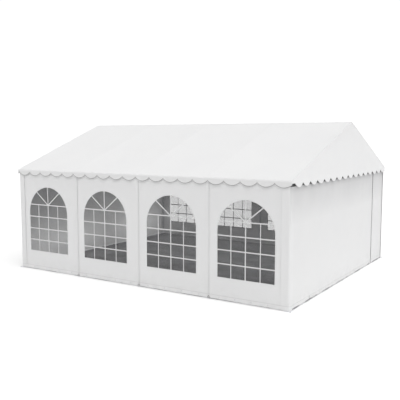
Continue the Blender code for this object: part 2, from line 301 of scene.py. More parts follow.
def build(name, parts, material):
    """One mesh object under the root body, from a list of (points, faces)."""
    points, faces, base = [], [], 0
    for part_points, part_faces in parts:
        points.append(part_points)
        faces += [[index + base for index in face] for face in part_faces]
        base += len(part_points)
    mesh = bpy.data.meshes.new(name)
    mesh.from_pydata(np.concatenate(points).tolist(), [], faces)
    mesh.materials.append(material)
    mesh.shade_smooth()
    mesh.set_sharp_from_angle(angle=SMOOTH_BELOW)
    piece = bpy.data.objects.new(name, mesh)
    bpy.context.scene.collection.objects.link(piece)
    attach(piece, "root")
    return piece


def ribbon(face, path, width, lift, thickness=0.0010):
    """A flat strip that follows a path (u, v) over a face's cloth."""
    path = np.asarray(path, float)
    along = np.gradient(path, axis=0)
    along /= np.linalg.norm(along, axis=1, keepdims=True)
    aside = np.stack([-along[:, 1], along[:, 0]], axis=1)
    steps = np.array([-0.5, 0.0, 0.5])
    spread = path[:, None, :] + aside[:, None, :] * (steps * width)[None, :, None]
    return grid_sheet(face.at(spread[..., 0], spread[..., 1], lift), thickness, face.out)


def line(start, end, step):
    """Points (u, v) from start to end, about a step apart."""
    start, end = np.asarray(start, float), np.asarray(end, float)
    count = max(2, int(math.ceil(np.linalg.norm(end - start) / step)) + 1)
    return start + (end - start) * np.linspace(0.0, 1.0, count)[:, None]


def unit(vector):
    vector = np.asarray(vector, float)
    return vector / np.linalg.norm(vector)


def prism(centre, axis, radius, height, sides, chamfer):
    """A closed prism that stands on its centre, with its top edge chamfered."""
    axis = unit(axis)
    helper = (1.0, 0.0, 0.0) if abs(axis[2]) > 0.9 else (0.0, 0.0, 1.0)
    first = unit(np.cross(helper, axis))
    second = np.cross(axis, first)
    angles = math.tau * np.arange(sides) / sides
    circle = np.cos(angles)[:, None] * first + np.sin(angles)[:, None] * second
    rings = [(radius, 0.0), (radius, height - chamfer), (radius - chamfer * 1.5, height)]
    points = np.concatenate([np.asarray(centre) + r * circle + h * axis for r, h in rings])
    faces = [list(range(sides))[::-1]]
    for level in range(len(rings) - 1):
        low = level * sides
        for k in range(sides):
            following = (k + 1) % sides
            faces.append([low + k, low + following, low + sides + following, low + sides + k])
    faces.append(list(range(len(points) - sides, len(points))))
    return points, faces


def bolt(centre, axis):
    """A washer and a hexagon head."""
    centre = np.asarray(centre, float)
    return [
        prism(centre, axis, 0.0115, 0.0018, 14, 0.0004),
        prism(centre + unit(axis) * 0.0018, axis, 0.0075, 0.0055, 6, 0.0009)]


def tube(path, radius, normal, sides=8, closed=False):
    """A round tube along a path, as a closed solid; normal isn't along the path."""
    path = np.asarray(path, float)
    if closed:
        along = np.roll(path, -1, axis=0) - np.roll(path, 1, axis=0)
    else:
        along = np.gradient(path, axis=0)
    aside = np.cross(along, np.asarray(normal, float))
    aside /= np.linalg.norm(aside, axis=1, keepdims=True)
    across = np.cross(aside, along)
    across /= np.linalg.norm(across, axis=1, keepdims=True)
    angles = math.tau * np.arange(sides) / sides
    points = (path[:, None, :] + radius * np.cos(angles)[None, :, None] * aside[:, None, :]
              + radius * np.sin(angles)[None, :, None] * across[:, None, :]).reshape(-1, 3)
    count = len(path)
    faces = []
    for level in range(count if closed else count - 1):
        low, high = level * sides, (level + 1) % count * sides
        for k in range(sides):
            following = (k + 1) % sides
            faces.append([low + k, high + k, high + following, low + following])
    if not closed:
        faces.append(list(range(sides)))
        faces.append(list(range((count - 1) * sides, count * sides))[::-1])
    return points, faces


def ring(face, u, v, half_width, half_height, lift, wire, sides):
    """A closed ring of wire that lies over a face's cloth."""
    angles = math.tau * np.arange(14) / 14
    path = face.at(u + half_width * np.cos(angles), v + half_height * np.sin(angles), lift)
    return tube(path, wire, face.out, sides, True)


def eyelet(face, u, v):
    return ring(face, u, v, EYELET_RADIUS, EYELET_RADIUS, EYELET_LIFT, EYELET_WIRE, 6)


def scallop_z(position, scallops):
    swing = np.abs(np.sin(math.pi * (position - scallops["cusp"]) / scallops["pitch"]))
    lobe = np.where(position < scallops["start"], 0.0, swing ** scallops["fullness"])
    return EAVE_Z - scallops["drop"] - scallops["depth"] * lobe


def scallop_stations(half_span, scallops, steps):
    """Places along a scalloped edge: every cusp, steps between, and both ends."""
    step = scallops["pitch"] / steps
    low = math.ceil((-half_span - scallops["cusp"]) / step)
    high = math.floor((half_span - scallops["cusp"]) / step)
    inner = scallops["cusp"] + step * np.arange(low, high + 1)
    inner = inner[half_span - np.abs(inner) > step / 4.0]
    return np.concatenate([[-half_span], inner, [half_span]])


def arch_path(centre, grow, step):
    """The window's outline as a closed loop of points, anticlockwise."""
    radius = WINDOW_RADIUS + grow
    sill = WINDOW_SILL_Z - grow
    head_steps = int(math.pi * radius / step)
    angles = np.linspace(0.0, math.pi, head_steps + 1)
    head = np.stack([
        centre + radius * np.cos(angles), WINDOW_ARCH_Z + radius * np.sin(angles)], axis=1)
    left = line((centre - radius, WINDOW_ARCH_Z), (centre - radius, sill), step)[1:]
    bottom = line((centre - radius, sill), (centre + radius, sill), step)[1:]
    right = line((centre + radius, sill), (centre + radius, WINDOW_ARCH_Z), step)[1:-1]
    return np.concatenate([head, left, bottom, right])


def in_arch(points, centre, grow):
    radius = WINDOW_RADIUS + grow
    across = np.abs(points[:, 0] - centre)
    v = points[:, 1]
    below = (across < radius) & (v > WINDOW_SILL_Z - grow) & (v <= WINDOW_ARCH_Z)
    above = (v > WINDOW_ARCH_Z) & (np.hypot(across, v - WINDOW_ARCH_Z) < radius)
    return below | above


def cut_sheet(face, points, loops, keep, thickness, lift=0.0):
    """A sheet between loops of edges, of the triangles whose middles pass keep."""
    vertices = [Vector(point) for point in points]
    edges = []
    for loop in loops:
        base = len(vertices)
        vertices += [Vector(point) for point in loop]
        edges += [(base + k, base + (k + 1) % len(loop)) for k in range(len(loop))]
    found, _, faces, *_ = delaunay_2d_cdt(vertices, edges, [], 0, 1e-6)
    points, faces = np.array([tuple(vertex) for vertex in found]), np.array(faces)
    kept = faces[keep(points[faces].mean(axis=1))].tolist()
    return loose_removed(*closed_sheet(face.at(*points.T, lift), kept, thickness, face.out))


def grid_points(low_u, high_u, low_v, high_v, step):
    columns = max(2, int(round((high_u - low_u) / step)))
    rows = max(2, int(round((high_v - low_v) / step)))
    u = low_u + (high_u - low_u) * np.arange(1, columns) / columns
    v = low_v + (high_v - low_v) * np.arange(1, rows) / rows
    u_all, v_all = np.meshgrid(u, v)
    return np.stack([u_all.ravel(), v_all.ravel()], axis=1)


def hem_sleeve(v):
    """The cloth's bulge round the ground rail and the pinch at its stitch line."""
    return 0.0022 * ridge_bump(v, 0.040, 0.026) - 0.0030 * ridge_bump(v, HEM_LINE_Z, 0.007)


def wall_wave(seed):
    """Hanging cloth: broad billows, small ripples and soft folds under the eave."""
    broad = wave_field(seed, 7, 0.8, 2.0)
    small = wave_field(seed + 1, 9, 0.22, 0.50)
    folds = wave_field(seed + 2, 5, 0.10, 0.20)

    def wave(u, v):
        free = ramp(v, 0.08, 0.45) * (1.0 - 0.75 * ramp(v, 1.65, 2.0))
        hung = ramp(v, 1.30, 2.05)
        rise = -0.0010 + free * (0.0044 * (broad(u, v) - 0.3) + 0.0009 * small(u, v))
        rise = rise + 0.0022 * hung * (folds(u, 0.08 * v) + 0.2)
        return rise + hem_sleeve(v)
    return wave


def valance_wave(scallops, seed):
    """The valance swings out a little in each lobe and is creased at each cusp."""
    drift = wave_field(seed, 6, 0.4, 1.3)

    def wave(u, v):
        hang = np.clip((EAVE_Z - v) / (scallops["drop"] + scallops["depth"]), 0.0, 1.0)
        lobe = np.abs(np.sin(math.pi * (u - scallops["cusp"]) / scallops["pitch"]))
        return hang ** 1.5 * (0.0010 + 0.0065 * lobe + 0.0035 * drift(u, 0.3 * v))
    return wave


def grey(tone, blue=None):
    """A grey colour, with a blue of its own where that differs a little."""
    return (tone, tone, tone if blue is None else blue)


class Nodes:
    """A new material, with short names for adding shader nodes to it."""

    def __init__(self, name, colour, roughness, metallic=0.0):
        self.material = bpy.data.materials.new(name)
        self.material.use_nodes = True
        self.tree = self.material.node_tree
        self.shader = self.tree.nodes["Principled BSDF"]
        self.set("Base Color", (*colour, 1.0))
        self.set("Roughness", roughness)
        self.set("Metallic", metallic)
        self.place = self.add("ShaderNodeTexCoord").outputs["Object"]

    def set(self, socket, value):
        self.link(value, self.shader.inputs[socket])

    def add(self, kind, **settings):
        node = self.tree.nodes.new(kind)
        for name, value in settings.items():
            setattr(node, name, value)
        return node

    def link(self, source, target):
        if hasattr(source, "is_output"):
            self.tree.links.new(source, target)
        else:
            target.default_value = source

    def math(self, operation, first, second=0.0):
        node = self.add("ShaderNodeMath", operation=operation)
        self.link(first, node.inputs[0])
        self.link(second, node.inputs[1])
        return node.outputs[0]

    def times(self, first, second):
        return self.math("MULTIPLY", first, second)

    def apart(self, value, centre):
        return self.math("ABSOLUTE", self.math("SUBTRACT", value, centre))

    def noise(self, scale, detail, stretch=(1.0, 1.0, 1.0), roughness=0.5):
        mapping = self.add("ShaderNodeMapping")
        self.link(self.place, mapping.inputs["Vector"])
        mapping.inputs["Scale"].default_value = stretch
        node = self.add("ShaderNodeTexNoise")
        self.link(mapping.outputs[0], node.inputs["Vector"])
        node.inputs["Scale"].default_value = scale
        node.inputs["Detail"].default_value = detail
        node.inputs["Roughness"].default_value = roughness
        return node.outputs["Fac"]

    def span(self, value, from_low, from_high, to_low=0.0, to_high=1.0):
        node = self.add("ShaderNodeMapRange")
        self.link(value, node.inputs["Value"])
        for socket, number in zip(
                ("From Min", "From Max", "To Min", "To Max"),
                (from_low, from_high, to_low, to_high)):
            node.inputs[socket].default_value = number
        return node.outputs[0]

    def patches(self, scale, detail, *limits):
        return self.span(self.noise(scale, detail), *limits)

    def mix(self, factor, first, second):
        node = self.add("ShaderNodeMix", data_type="RGBA")
        self.link(factor, node.inputs["Factor"])
        for value, socket in ((first, node.inputs[6]), (second, node.inputs[7])):
            self.link((*value, 1.0) if isinstance(value, tuple) else value, socket)
        return node.outputs[2]

    def axes(self):
        node = self.add("ShaderNodeSeparateXYZ")
        self.link(self.place, node.inputs[0])
        return node.outputs

    def weave(self, pitch):
        """Threads of a plain weave, which run along the surface on every side."""
        x, y, z = self.axes()
        turn = math.tau / pitch
        warp = self.math("SINE", self.times(self.math("ADD", x, z), turn))
        weft = self.math("SINE", self.times(self.math("SUBTRACT", y, z), turn))
        return self.times(warp, weft)

    def bump(self, heights):
        """Bump from (height, strength, distance) rows, one on top of another."""
        normal = None
        for height, strength, distance in heights:
            node = self.add("ShaderNodeBump")
            node.inputs["Strength"].default_value = strength
            node.inputs["Distance"].default_value = distance
            self.link(height, node.inputs["Height"])
            if normal is not None:
                self.link(normal, node.inputs["Normal"])
            normal = node.outputs[0]
        self.set("Normal", normal)


def coated_cloth(name, tone, dirt_and_shade=0.06, shade=None, hem=None, roof=False, gable_only=False):
    """White coated cloth: a fine weave under a satin coat, greyed low down by dirt and painted shade.

    shade is how much painted shade greys a gable wall's top under the valance; above
    that, near-black painted shadow fills the lobes' gaps. gable_only keeps both off the long side.
    hem is the height and tone of a darker band along the foot: painted shade for the base's
    shadow line. A roof has the lines where its lengths are welded together, and a valance greyed by
    painted shade.
    """
    nodes = Nodes(name, grey(tone), 0.46)
    z = nodes.axes()[2]
    # Greyed low down by splashes: dirt, and on the gable wall, with its larger amount, painted shade as
    # well
    low_splash_and_shade = nodes.times(nodes.span(z, 0.0, 0.30, 1.0, 0.0), nodes.patches(9.0, 5.0, 0.40, 0.72))
    clean = nodes.mix(nodes.patches(0.9, 4.0, 0.3, 0.7), grey(tone * 0.985, tone * 0.99), grey(tone))
    greyed = nodes.mix(
        nodes.times(low_splash_and_shade, dirt_and_shade * 3.0), clean, (tone * 0.70, tone * 0.69, tone * 0.67))
    specks = nodes.noise(46.0, 3.0, roughness=0.7)
    colour = nodes.mix(nodes.span(specks, 0.62, 0.80, 0.0, 0.10), greyed, grey(tone * 0.88))
    if shade is not None:
        # Painted shade greys the wall's top under the valance, unevenly, and above a given height the
        # wall is painted near black as shadow in the gaps between the valance's lobes
        under = nodes.math(
            "ADD", nodes.span(z, SHADE_LOW_Z, SHADE_TOP_Z, 0.0, shade),
            nodes.span(z, SHADE_DEEP_Z, SHADE_TOP_Z, 0.0, SHADE_DEEP))
        under = nodes.times(under, nodes.patches(1.6, 2.0, 0.3, 0.7, 0.75, 1.0))
        head = nodes.span(z, GAP_SHADOW_BAND_Z, GAP_SHADOW_BAND_Z + SHADE_BAND_EDGE)
        if gable_only:
            on_gable = nodes.span(nodes.math("ABSOLUTE", nodes.axes()[0]), 3.030, 3.046)
            under = nodes.times(under, on_gable)
            head = nodes.times(head, on_gable)
        colour = nodes.mix(under, colour, grey(tone * 0.45, tone * 0.46))
        colour = nodes.mix(head, colour, grey(0.035, 0.037))
    heights = [
        (nodes.noise(2.4, 5.0, (1.0, 1.0, 0.55), 0.55), 0.10, 0.03),
        (nodes.weave(0.0022), 0.12, 0.0004)]
    if hem is not None:
        hem_top, foot_shade_tone = hem
        # A darker band along the foot, broken up by noise: painted shade for the shadow line at the base
        tape = nodes.span(z, hem_top, hem_top + SHADE_BAND_EDGE, 1.0, 0.0)
        foot_shade_breaks = nodes.patches(5.0, 3.0, 0.42, 0.58, 0.25, 1.0)
        colour = nodes.mix(nodes.times(tape, foot_shade_breaks), colour, grey(foot_shade_tone, foot_shade_tone * 1.02))
        # The stitch line, where the cloth is pinched, is darkened: painted shade in the crease
        stitch = nodes.span(nodes.apart(z, HEM_LINE_Z), 0.0015, 0.003, 0.5, 0.0)
        colour = nodes.mix(stitch, colour, grey(tone * 0.45))
        heights.append((tape, 0.6, 0.0006))
    if roof:
        # The valance below the eave is greyed: painted shade
        hung = nodes.span(z, EAVE_Z - 0.030, EAVE_Z - 0.010, 1.0, 0.0)
        colour = nodes.mix(hung, colour, grey(tone * 0.90))
        seam = nodes.math("PINGPONG", nodes.math("ADD", nodes.axes()[0], FRAME_X), BAY_PITCH / 2.0)
        band = nodes.span(seam, 0.016, 0.018, 1.0, 0.0)
        rim = nodes.span(nodes.apart(seam, 0.017), 0.0, 0.002, 0.35, 0.0)
        colour = nodes.mix(rim, colour, grey(tone * 0.72))
        heights.append((band, 0.8, 0.0008))
    nodes.set("Base Color", colour)
    nodes.set("Roughness", nodes.patches(5.0, 3.0, 0.3, 0.7, 0.40, 0.54))
    nodes.bump(heights)
    return nodes.material


def clear_film(name):
    """Clear soft film with faint ripples and a slight grey haze."""
    nodes = Nodes(name, grey(0.18, 0.185), 0.12)
    nodes.set("Alpha", nodes.patches(3.0, 4.0, 0.35, 0.75, 0.165, 0.200))
    nodes.set("Roughness", nodes.patches(14.0, 3.0, 0.3, 0.8, 0.08, 0.20))
    nodes.bump([(nodes.noise(5.0, 2.0, (1.0, 1.0, 0.5)), 0.06, 0.02)])
    return nodes.material


def galvanised(name, dark=0.50, light=0.68, metallic=0.9):
    """Zinc-coated steel: soft spangle and dull patches."""
    nodes = Nodes(name, grey(light), 0.42, metallic)
    cells = nodes.add("ShaderNodeTexVoronoi")
    nodes.link(nodes.place, cells.inputs["Vector"])
    cells.inputs["Scale"].default_value = 95.0
    spangle = nodes.span(cells.outputs["Color"], 0.0, 1.0)
    patch = nodes.noise(7.0, 4.0)
    colour = nodes.mix(
        spangle, (dark, dark + 0.01, dark + 0.03), (light, light + 0.01, light + 0.02))
    colour = nodes.mix(
        nodes.span(patch, 0.45, 0.75, 0.0, 0.5), colour, (dark - 0.06, dark - 0.05, dark - 0.04))
    nodes.set("Base Color", colour)
    nodes.set("Roughness", nodes.span(patch, 0.3, 0.7, 0.34, 0.56))
    nodes.bump([(nodes.noise(160.0, 2.0), 0.10, 0.001)])
    return nodes.material


def woven_sheet(name):
    """Grey woven groundsheet with a coarse tape weave and long scuffs.

    It is paler along the back wall, as a painted sheen, and darker along the left gable, as painted
    shade.
    """
    nodes = Nodes(name, grey(0.30, 0.305), 0.72)
    nodes.set("Specular IOR Level", 0.25)
    weave = nodes.weave(0.010)
    scuffs = nodes.noise(3.2, 6.0, (0.45, 1.0, 1.0), roughness=0.62)
    colour = nodes.mix(nodes.span(scuffs, 0.35, 0.70), grey(0.19, 0.195), grey(0.41, 0.415))
    x, y, _ = nodes.axes()
    # Painted sheen: paler towards the back wall
    colour = nodes.mix(nodes.span(y, 1.1, 2.2, 0.0, 0.55), colour, grey(0.52, 0.525))
    # Painted shade: darker towards the left gable
    colour = nodes.mix(nodes.span(x, -3.0, -2.45, 0.58, 0.0), colour, grey(0.09, 0.095))
    colour = nodes.mix(nodes.span(weave, -1.0, 1.0, 0.0, 0.35), colour, grey(0.42, 0.425))
    nodes.set("Base Color", colour)
    nodes.set("Roughness", nodes.span(scuffs, 0.3, 0.7, 0.62, 0.84))
    nodes.bump([(nodes.noise(1.4, 3.0), 0.3, 0.03), (weave, 0.5, 0.001)])
    return nodes.material


def moulded(name, tone, roughness):
    """Moulded plastic or rubber with a fine grain."""
    nodes = Nodes(name, grey(tone), roughness)
    grain = nodes.noise(220.0, 3.0)
    colour = nodes.mix(nodes.span(grain, 0.3, 0.7), grey(tone * 0.88), grey(tone))
    nodes.set("Base Color", colour)
    nodes.set("Roughness", nodes.span(grain, 0.3, 0.7, roughness - 0.06, roughness + 0.08))
    nodes.bump([(grain, 0.25, 0.0006)])
    return nodes.material


# The roof, gable tops, walls and corner covers are one white cloth; their tones differ to give each
# surface its lit tone, as painted light and shade
ROOF_CLOTH = coated_cloth("roof_coated_cloth", 0.89, dirt_and_shade=0.0, roof=True)
GABLE_TOP_CLOTH = coated_cloth("gable_top_coated_cloth", 0.87, dirt_and_shade=0.0)
LONG_WALL_CLOTH = coated_cloth("long_wall_coated_cloth", 0.82, hem=(0.020, 0.42))
GABLE_WALL_CLOTH = coated_cloth(
    "gable_wall_coated_cloth", 0.80, dirt_and_shade=0.10, shade=0.44, hem=(0.031, 0.25))
CORNER_CLOTH = coated_cloth(
    "corner_cover_coated_cloth", 0.82, shade=0.44, hem=(0.020, 0.66), gable_only=True)
WHITE_BINDING = coated_cloth("edge_binding_white", 0.82, dirt_and_shade=0.0)
# The long valances' binding is grey as painted shadow: the thin shade line under the lobes
SHADOW_GREY_BINDING = moulded("edge_binding_shadow_grey", 0.42, 0.50)
BAR_WHITE = coated_cloth("window_bar_white", 0.70, dirt_and_shade=0.0)
RIM_WHITE = coated_cloth("window_rim_white", 0.80, dirt_and_shade=0.0)
FILM_CLEAR = clear_film("window_film_clear")
STEEL = galvanised("galvanised_tube")
PLATE_STEEL = galvanised("galvanised_plate", 0.86, 0.96, 0.1)
GROUND = woven_sheet("woven_groundsheet")
ZIP_TEETH = moulded("zip_teeth_grey", 0.26, 0.45)
RUBBER = moulded("rubber_grey", 0.40, 0.55)


def make_roof():
    """The roof is one sheet over the ridge, with a valance down both eaves."""
    sag = wave_field(11, 6, 0.7, 2.2)
    ripple = wave_field(12, 8, 0.25, 0.55)
    u = scallop_stations(GABLE_CLOTH_X, LONG_SCALLOPS, 12)
    slope_steps = np.linspace(0.0, 1.0, 44)
    bend_steps = np.linspace(0.0, 1.0, 6)[1:]
    hang_steps = np.linspace(0.0, 1.0, 9)[1:]
    bay = np.clip((u + FRAME_X) / BAY_PITCH, 0.0, 4.0)
    in_bay = 4.0 * (bay % 1.0) * (1.0 - bay % 1.0)
    bend = math.pi / 2.0 - SLOPE_ANGLE
    setback = EAVE_ROUNDING * math.tan(bend / 2.0)
    straight = SLOPE_LENGTH - setback

    def spread(y):
        return u * (1.0 + RIDGE_LEAN / GABLE_CLOTH_X * (1.0 - min(1.0, y / VALANCE_Y)))

    def half(spin):
        rows = []
        for t in slope_steps:
            distance = straight * t
            held = math.sin(math.pi * min(1.0, distance / SLOPE_LENGTH)) ** 0.8
            drop = ROOF_SAG * held * in_bay * (1.0 + 0.35 * sag(spin * u, 0.4 + t))
            drop = drop + 0.0012 * held * ripple(spin * u, distance) + 0.0020
            y = distance * math.cos(SLOPE_ANGLE)
            z = RIDGE_Z - math.hypot(SLOPE * y, RIDGE_ROUNDING)
            rows.append(np.stack([
                spread(y), -y + drop * math.sin(SLOPE_ANGLE) * ramp(y, 0.0, 0.1),
                z - drop * math.cos(SLOPE_ANGLE)], axis=1))
        wave = valance_wave(LONG_SCALLOPS, 21)
        centre_y = VALANCE_Y - EAVE_ROUNDING
        top_z = EAVE_Z - setback
        for t in bend_steps:
            angle = SLOPE_ANGLE + bend * t
            y = centre_y + EAVE_ROUNDING * math.sin(angle)
            z = top_z + EAVE_ROUNDING * math.cos(angle) - 0.0012 * (1.0 - t)
            rows.append(np.stack([spread(y), np.full_like(u, -y), np.full_like(u, z)], axis=1))
        hem = scallop_z(u, LONG_SCALLOPS)
        for t in hang_steps:
            z = top_z + (hem - top_z) * t
            rows.append(np.stack([u, -VALANCE_Y - wave(u, z), z], axis=1))
        return np.array(rows) * np.array([spin, spin, 1.0])

    front = half(1.0)
    back = half(-1.0)[:, ::-1, :]
    points = np.concatenate([front[::-1], back[1:]])
    solid = grid_sheet(points, CLOTH, (0.0, 0.0, 1.0))
    roof = build("roof_sheet", [solid], ROOF_CLOTH)
    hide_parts("roof_cover_front", "roof_cover_back")
    valance_rows = len(hang_steps)
    return roof, points[valance_rows:-valance_rows]


def long_face(y, wave, turned):
    return Face((0.0, -y, 0.0), (1.0, 0.0, 0.0), wave, turned)


def gable_face(x, wave, turned):
    return Face((x, 0.0, 0.0), (0.0, 1.0, 0.0), wave, turned)


def gable_top_wave():
    swing = valance_wave(GABLE_SCALLOPS, 31)
    broad = wave_field(32, 6, 0.6, 1.8)
    small = wave_field(33, 8, 0.2, 0.5)

    def wave(u, v):
        roof_z = RIDGE_Z - SLOPE * np.abs(u)
        inside = ramp(roof_z - v, 0.0, 0.25) * ramp(v, EAVE_Z, EAVE_Z + 0.15)
        billow = inside * (0.0035 * broad(u, v) + 0.0008 * small(u, v))
        above = (v - LEAN_BASE_Z) / (RIDGE_Z - LEAN_BASE_Z)
        lean = RIDGE_LEAN * (above + np.hypot(above, 0.02)) / 2.0
        return swing(u, v) + billow + lean
    return wave


def make_gable_top(end):
    """The cloth triangle sewn under the roof's edge, with its own valance."""
    face = gable_face(GABLE_CLOTH_X - 0.002, gable_top_wave(), end == "left")
    u = scallop_stations(GABLE_HALF_SPAN, GABLE_SCALLOPS, 12)
    u = np.sort(np.append(u[np.abs(u) > 0.012], 0.0))
    hem = scallop_z(u, GABLE_SCALLOPS)
    top = RIDGE_Z - SLOPE * np.abs(u) - 0.0045
    steps = np.concatenate([np.linspace(0.0, 0.35, 14)[:-1], np.linspace(0.35, 1.0, 22)])
    v = hem[None, :] + (top - hem)[None, :] * steps[:, None]
    solid = grid_sheet(face.at(u[None, :], v), CLOTH, face.out)
    sheet = build(f"gable_sheet_{end}", [solid], GABLE_TOP_CLOTH)
    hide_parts(f"gable_top_{end}")
    return sheet, face


def make_binding(name, face, half_span, scallops, material):
    """Tape folded over the scalloped edge, welded on in one run."""
    u = scallop_stations(half_span, scallops, 16)
    z = scallop_z(u, scallops)
    parts = []
    for lift in (0.0013, -0.0013):
        low = face.at(u, z - 0.0015, lift)
        high = face.at(u, z + 0.0085, lift * 0.9)
        parts.append(grid_sheet(np.stack([low, high]), 0.0012, face.out))
    return build(name, parts, material)


def make_wall_panel(name, face, low_u, high_u, centre, node):
    """One bay of long wall, with the arched opening cut in it."""
    corners = [
        (low_u, WALL_BOTTOM_Z), (high_u, WALL_BOTTOM_Z), (high_u, WALL_TOP_Z), (low_u, WALL_TOP_Z)]
    border = np.concatenate([
        line(corners[k], corners[(k + 1) % 4], CLOTH_STEP)[:-1] for k in range(4)])
    opening = arch_path(centre, 0.0, CLOTH_STEP)
    around = arch_path(centre, CLOTH_STEP * 0.8, CLOTH_STEP)
    inner = grid_points(low_u, high_u, WALL_BOTTOM_Z, WALL_TOP_Z, CLOTH_STEP)
    inner = inner[~in_arch(inner, centre, CLOTH_STEP * 1.3)]
    inner = inner[inner[:, 1] > 0.12]
    hem_rows = np.concatenate([
        line((low_u, z), (high_u, z), CLOTH_STEP)[1:-1] for z in HEM_ROWS_Z])
    solid = cut_sheet(
        face, np.concatenate([inner, hem_rows, around]), [border, opening],
        lambda middles: ~in_arch(middles, centre, 0.0), CLOTH)
    panel = build(name, [solid], LONG_WALL_CLOTH)
    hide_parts(node)
    return panel


def make_film(name, face, centre, node):
    """The clear film behind the opening, a little larger all round."""
    edge = arch_path(centre, FILM_MARGIN, FILM_STEP)
    inner = grid_points(centre - 0.56, centre + 0.56, 0.36, 1.75, FILM_STEP)
    inner = inner[in_arch(inner, centre, -0.010)]
    solid = cut_sheet(
        face, inner, [edge], lambda middles: in_arch(middles, centre, FILM_MARGIN + 0.001), FILM, -CLOTH)
    film = build(name, [solid], FILM_CLEAR)
    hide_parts(node)
    return film


def make_bars(name, face, centre):
    """White glazing bars welded on the film: uprights, then levels, then the fan."""
    parts = []

    def bar(start, end, width, lift):
        parts.append(ribbon(face, line(start, end, STRIP_STEP), width, lift))

    arch_top = WINDOW_ARCH_Z + WINDOW_RADIUS
    for offset, top in ((-BAR_COLUMN, FAN_CENTRE_Z), (0.0, arch_top), (BAR_COLUMN, FAN_CENTRE_Z)):
        u = centre + offset
        bar((u, WINDOW_SILL_Z - BAR_TUCK), (u, top + BAR_TUCK),
            THIN_BAR_WIDTH if offset else BAR_WIDTH, -0.0003)
    for z in BAR_ROWS_Z:
        above = max(0.0, z - WINDOW_ARCH_Z)
        reach = math.sqrt(WINDOW_RADIUS ** 2 - above ** 2) + BAR_TUCK
        bar((centre - reach, z), (centre + reach, z), BAR_WIDTH, 0.0003)
    rise = FAN_CENTRE_Z - WINDOW_ARCH_Z
    cos, sin = math.cos(FAN_ANGLE), math.sin(FAN_ANGLE)
    reach = -rise * sin + math.sqrt((rise * sin) ** 2 + WINDOW_RADIUS ** 2 - rise ** 2) + BAR_TUCK
    for lean in (-1.0, 1.0):
        end = (centre + lean * reach * cos, FAN_CENTRE_Z + reach * sin)
        bar((centre, FAN_CENTRE_Z), end, BAR_WIDTH, 0.0)
    return build(name, parts, BAR_WHITE)


def make_rim(name, face, centre):
    """The welded rim round a window."""
    path = arch_path(centre, 0.016, 0.030)
    path = np.concatenate([path, path[:1]])
    return build(name, [ribbon(face, path, 0.026, 0.0009, 0.0008)], RIM_WHITE)


def make_flap(name, face, seam):
    """A double strip whose free edge stands off the next panel a little."""
    across = np.linspace(0.0, 1.0, 9)
    rows = line((0.0, FLAP_BOTTOM_Z), (0.0, FLAP_TOP_Z), STRIP_STEP)[:, 1]
    attached = seam - FLAP_WIDTH
    flutter = wave_field(int(abs(attached) * 1000) + 5, 5, 0.3, 0.9)
    u = attached + (seam - attached) * across
    lively = 0.9 + 0.35 * flutter(rows, 0.0)[:, None]
    lift = 0.0013 + FLAP_LIFT * ramp(across, 0.45, 1.0)[None, :] * lively
    lift = lift * (0.35 + 0.65 * ramp(rows, FLAP_BOTTOM_Z, FLAP_BOTTOM_Z + 0.12))[:, None]
    solid = grid_sheet(face.at(u[None, :], rows[:, None], lift), CLOTH, face.out)
    return build(name, [solid], LONG_WALL_CLOTH)


def corner_line(reach_gable, reach_long, lift, step, sign, turned):
    """Points and outward directions round a corner, from the gable to the long side.

    sign is -1 for the front end of the gable and 1 for the back end.
    """
    straight = line((reach_gable, 0.0), (HALF_WIDTH - CORNER_RADIUS, 0.0), step)[:, 0]
    points = [(HALF_LENGTH + lift, y, 1.0, 0.0) for y in straight[:-1]]
    for angle in np.linspace(0.0, math.pi / 2.0, 9):
        cos, sin = math.cos(angle), math.sin(angle)
        points.append((
            HALF_LENGTH - CORNER_RADIUS + (CORNER_RADIUS + lift) * cos,
            HALF_WIDTH - CORNER_RADIUS + (CORNER_RADIUS + lift) * sin, cos, sin))
    back = line((HALF_LENGTH - CORNER_RADIUS, 0.0), (HALF_LENGTH - reach_long, 0.0), step)[1:, 0]
    points += [(x, HALF_WIDTH + lift, 0.0, 1.0) for x in back]
    spin = -1.0 if turned else 1.0
    turn = np.array([1.0, sign, 1.0, sign]) * spin
    return np.array(points) * turn


WALL_ROWS = np.unique(np.concatenate([
    line((0.0, WALL_BOTTOM_Z), (0.0, 0.066), 0.010)[:, 1],
    np.arange(0.070, 0.112, 0.003),
    line((0.0, 0.12), (0.0, GABLE_WALL_TOP_Z), CLOTH_STEP)[:, 1]]))


def corner_sheet(name, outline, rise, material):
    """A sheet that stands on a bent outline, moved out by rise(row, column)."""
    shift = rise(WALL_ROWS)
    x = outline[None, :, 0] + outline[None, :, 2] * shift
    y = outline[None, :, 1] + outline[None, :, 3] * shift
    points = np.stack([x, y, np.broadcast_to(WALL_ROWS[:, None], x.shape)], axis=2)
    out = (*outline[len(outline) // 2, 2:], 0.0)
    return build(name, [grid_sheet(points, CLOTH, out)], material)


def distances(outline):
    steps = np.hypot(*np.diff(outline[:, :2], axis=0).T)
    return np.concatenate([[0.0], np.cumsum(steps)])


